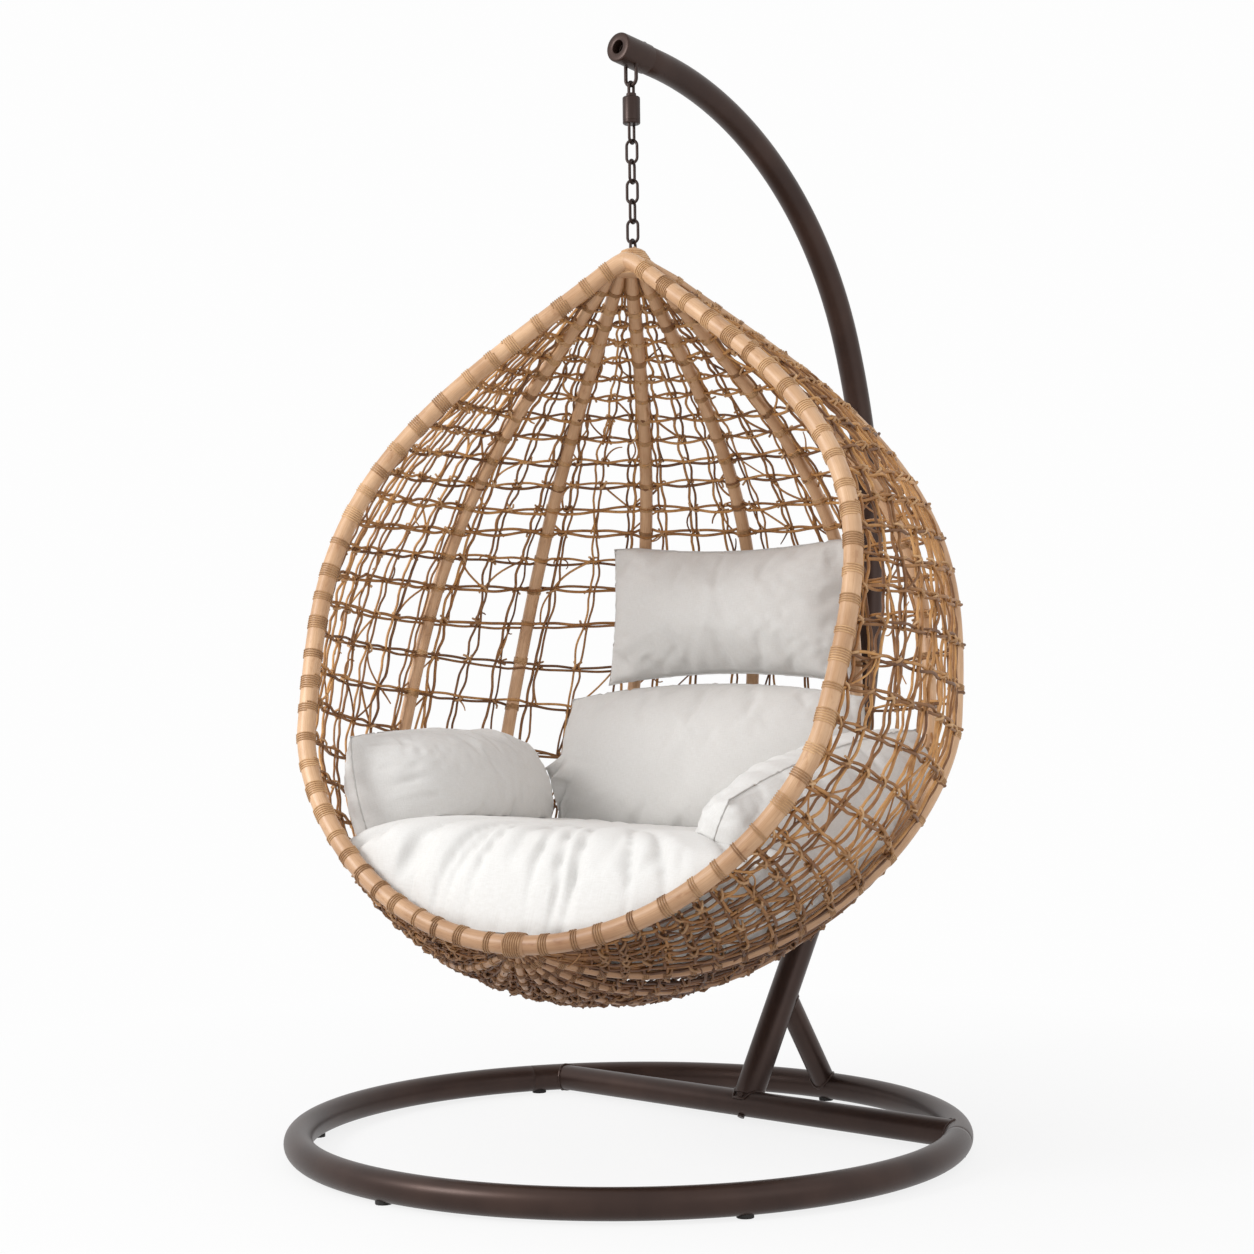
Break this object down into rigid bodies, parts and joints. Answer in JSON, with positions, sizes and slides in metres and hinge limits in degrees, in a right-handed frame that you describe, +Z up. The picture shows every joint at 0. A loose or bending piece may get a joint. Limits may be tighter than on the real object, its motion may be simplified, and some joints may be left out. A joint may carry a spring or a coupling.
{
  "type": "hanging egg chair",
  "caption": "Woven cane egg basket with linen cushions, hung by a swivel and chain from a bowed steel arm on a ring base.",
  "frame": {"origin": "middle of the part's plan box on the floor, under the ring base", "axes": "+Z up, -Y to the front of the stand, +X to the sitter's left; the pole and arm lie in the plane X = 0"},
  "size_m": [1.1364, 1.2985, 1.8711],
  "materials": {
    "satin_brown_steel": "satin powder coat",
    "dark_brown_fittings": "satin",
    "bearing_steel": "brushed",
    "black_rubber": "matte",
    "tan_cane": "satin varnish",
    "woven_cane": "satin varnish",
    "off_white_linen": "matte weave"
  },
  "bodies": {
    "stand": {"base_ring_front": "satin_brown_steel", "base_ring_rear": "satin_brown_steel", "ring_spigot_left": "satin_brown_steel", "ring_spigot_right": "satin_brown_steel", "cross_tube": "satin_brown_steel", "lower_pole": "satin_brown_steel", "pole_foot_plug": "satin_brown_steel", "foot_bolt": "dark_brown_fittings", "brace_tube": "satin_brown_steel", "upper_arm": "satin_brown_steel", "arm_bolt": "dark_brown_fittings", "arm_end_fitting": "satin_brown_steel", "hanging_eye": "dark_brown_fittings", "floor_glide_1": "black_rubber", "floor_glide_2": "black_rubber", "floor_glide_3": "black_rubber", "floor_glide_4": "black_rubber", "floor_glide_5": "black_rubber", "floor_glide_6": "black_rubber"},
    "swivel_top": {"swivel_top_loop": "dark_brown_fittings", "swivel_shank": "dark_brown_fittings"},
    "swivel_body": {"swivel_barrel": "dark_brown_fittings", "swivel_washer": "bearing_steel", "swivel_plug": "dark_brown_fittings", "swivel_lower_eye": "dark_brown_fittings"},
    "chain_link_1_body": {"chain_link_1": "dark_brown_fittings"},
    "chain_link_2_body": {"chain_link_2": "dark_brown_fittings"},
    "chain_link_3_body": {"chain_link_3": "dark_brown_fittings"},
    "chain_link_4_body": {"chain_link_4": "dark_brown_fittings"},
    "chain_link_5_body": {"chain_link_5": "dark_brown_fittings"},
    "basket": {"apex_hub": "tan_cane", "back_cushion": "off_white_linen", "basket_eye": "dark_brown_fittings", "foot_hub": "tan_cane", "head_pillow": "off_white_linen", "left_bolster": "off_white_linen", "net_panel_1": "woven_cane", "net_panel_2": "woven_cane", "net_panel_3": "woven_cane", "net_panel_4": "woven_cane", "net_panel_5": "woven_cane", "net_panel_6": "woven_cane", "net_panel_7": "woven_cane", "net_panel_8": "woven_cane", "rib_1": "tan_cane", "rib_2": "tan_cane", "rib_3": "tan_cane", "rib_4": "tan_cane", "rib_5": "tan_cane", "rib_6": "tan_cane", "rib_7": "tan_cane", "right_bolster": "off_white_linen", "rim_tube": "tan_cane", "seat_cushion": "off_white_linen"}
  },
  "joints": [
    {"name": "hook_swing", "type": "hinge", "parent": "stand", "child": "swivel_top", "pos_m": [0, -0.04395, 1.78644], "axis": [1, 0, 0], "range_deg": [-8, 4]},
    {"name": "swivel_turn", "type": "hinge", "parent": "swivel_top", "child": "swivel_body", "pos_m": [0, -0.04395, 1.74384], "axis": [0, 0, 1], "range_deg": [-145, 118]},
    {"name": "link_1_sway", "type": "hinge", "parent": "swivel_body", "child": "chain_link_1_body", "pos_m": [0, -0.04395, 1.68784], "axis": [-0.2924, 0.9563, 0], "range_deg": [-6, 6]},
    {"name": "link_2_swing", "type": "hinge", "parent": "chain_link_1_body", "child": "chain_link_2_body", "pos_m": [0, -0.04395, 1.65384], "axis": [0.9563, 0.2924, 0], "range_deg": [-8, 4]},
    {"name": "link_3_sway", "type": "hinge", "parent": "chain_link_2_body", "child": "chain_link_3_body", "pos_m": [0, -0.04395, 1.61984], "axis": [-0.2924, 0.9563, 0], "range_deg": [-6, 6]},
    {"name": "link_4_swing", "type": "hinge", "parent": "chain_link_3_body", "child": "chain_link_4_body", "pos_m": [0, -0.04395, 1.58584], "axis": [0.9563, 0.2924, 0], "range_deg": [-8, 4]},
    {"name": "link_5_sway", "type": "hinge", "parent": "chain_link_4_body", "child": "chain_link_5_body", "pos_m": [0, -0.04395, 1.55184], "axis": [-0.2924, 0.9563, 0], "range_deg": [-6, 6]},
    {"name": "basket_swing", "type": "hinge", "parent": "chain_link_5_body", "child": "basket", "pos_m": [0, -0.04395, 1.51784], "axis": [0.9563, 0.2924, 0], "range_deg": [-8, 4]}
  ]
}
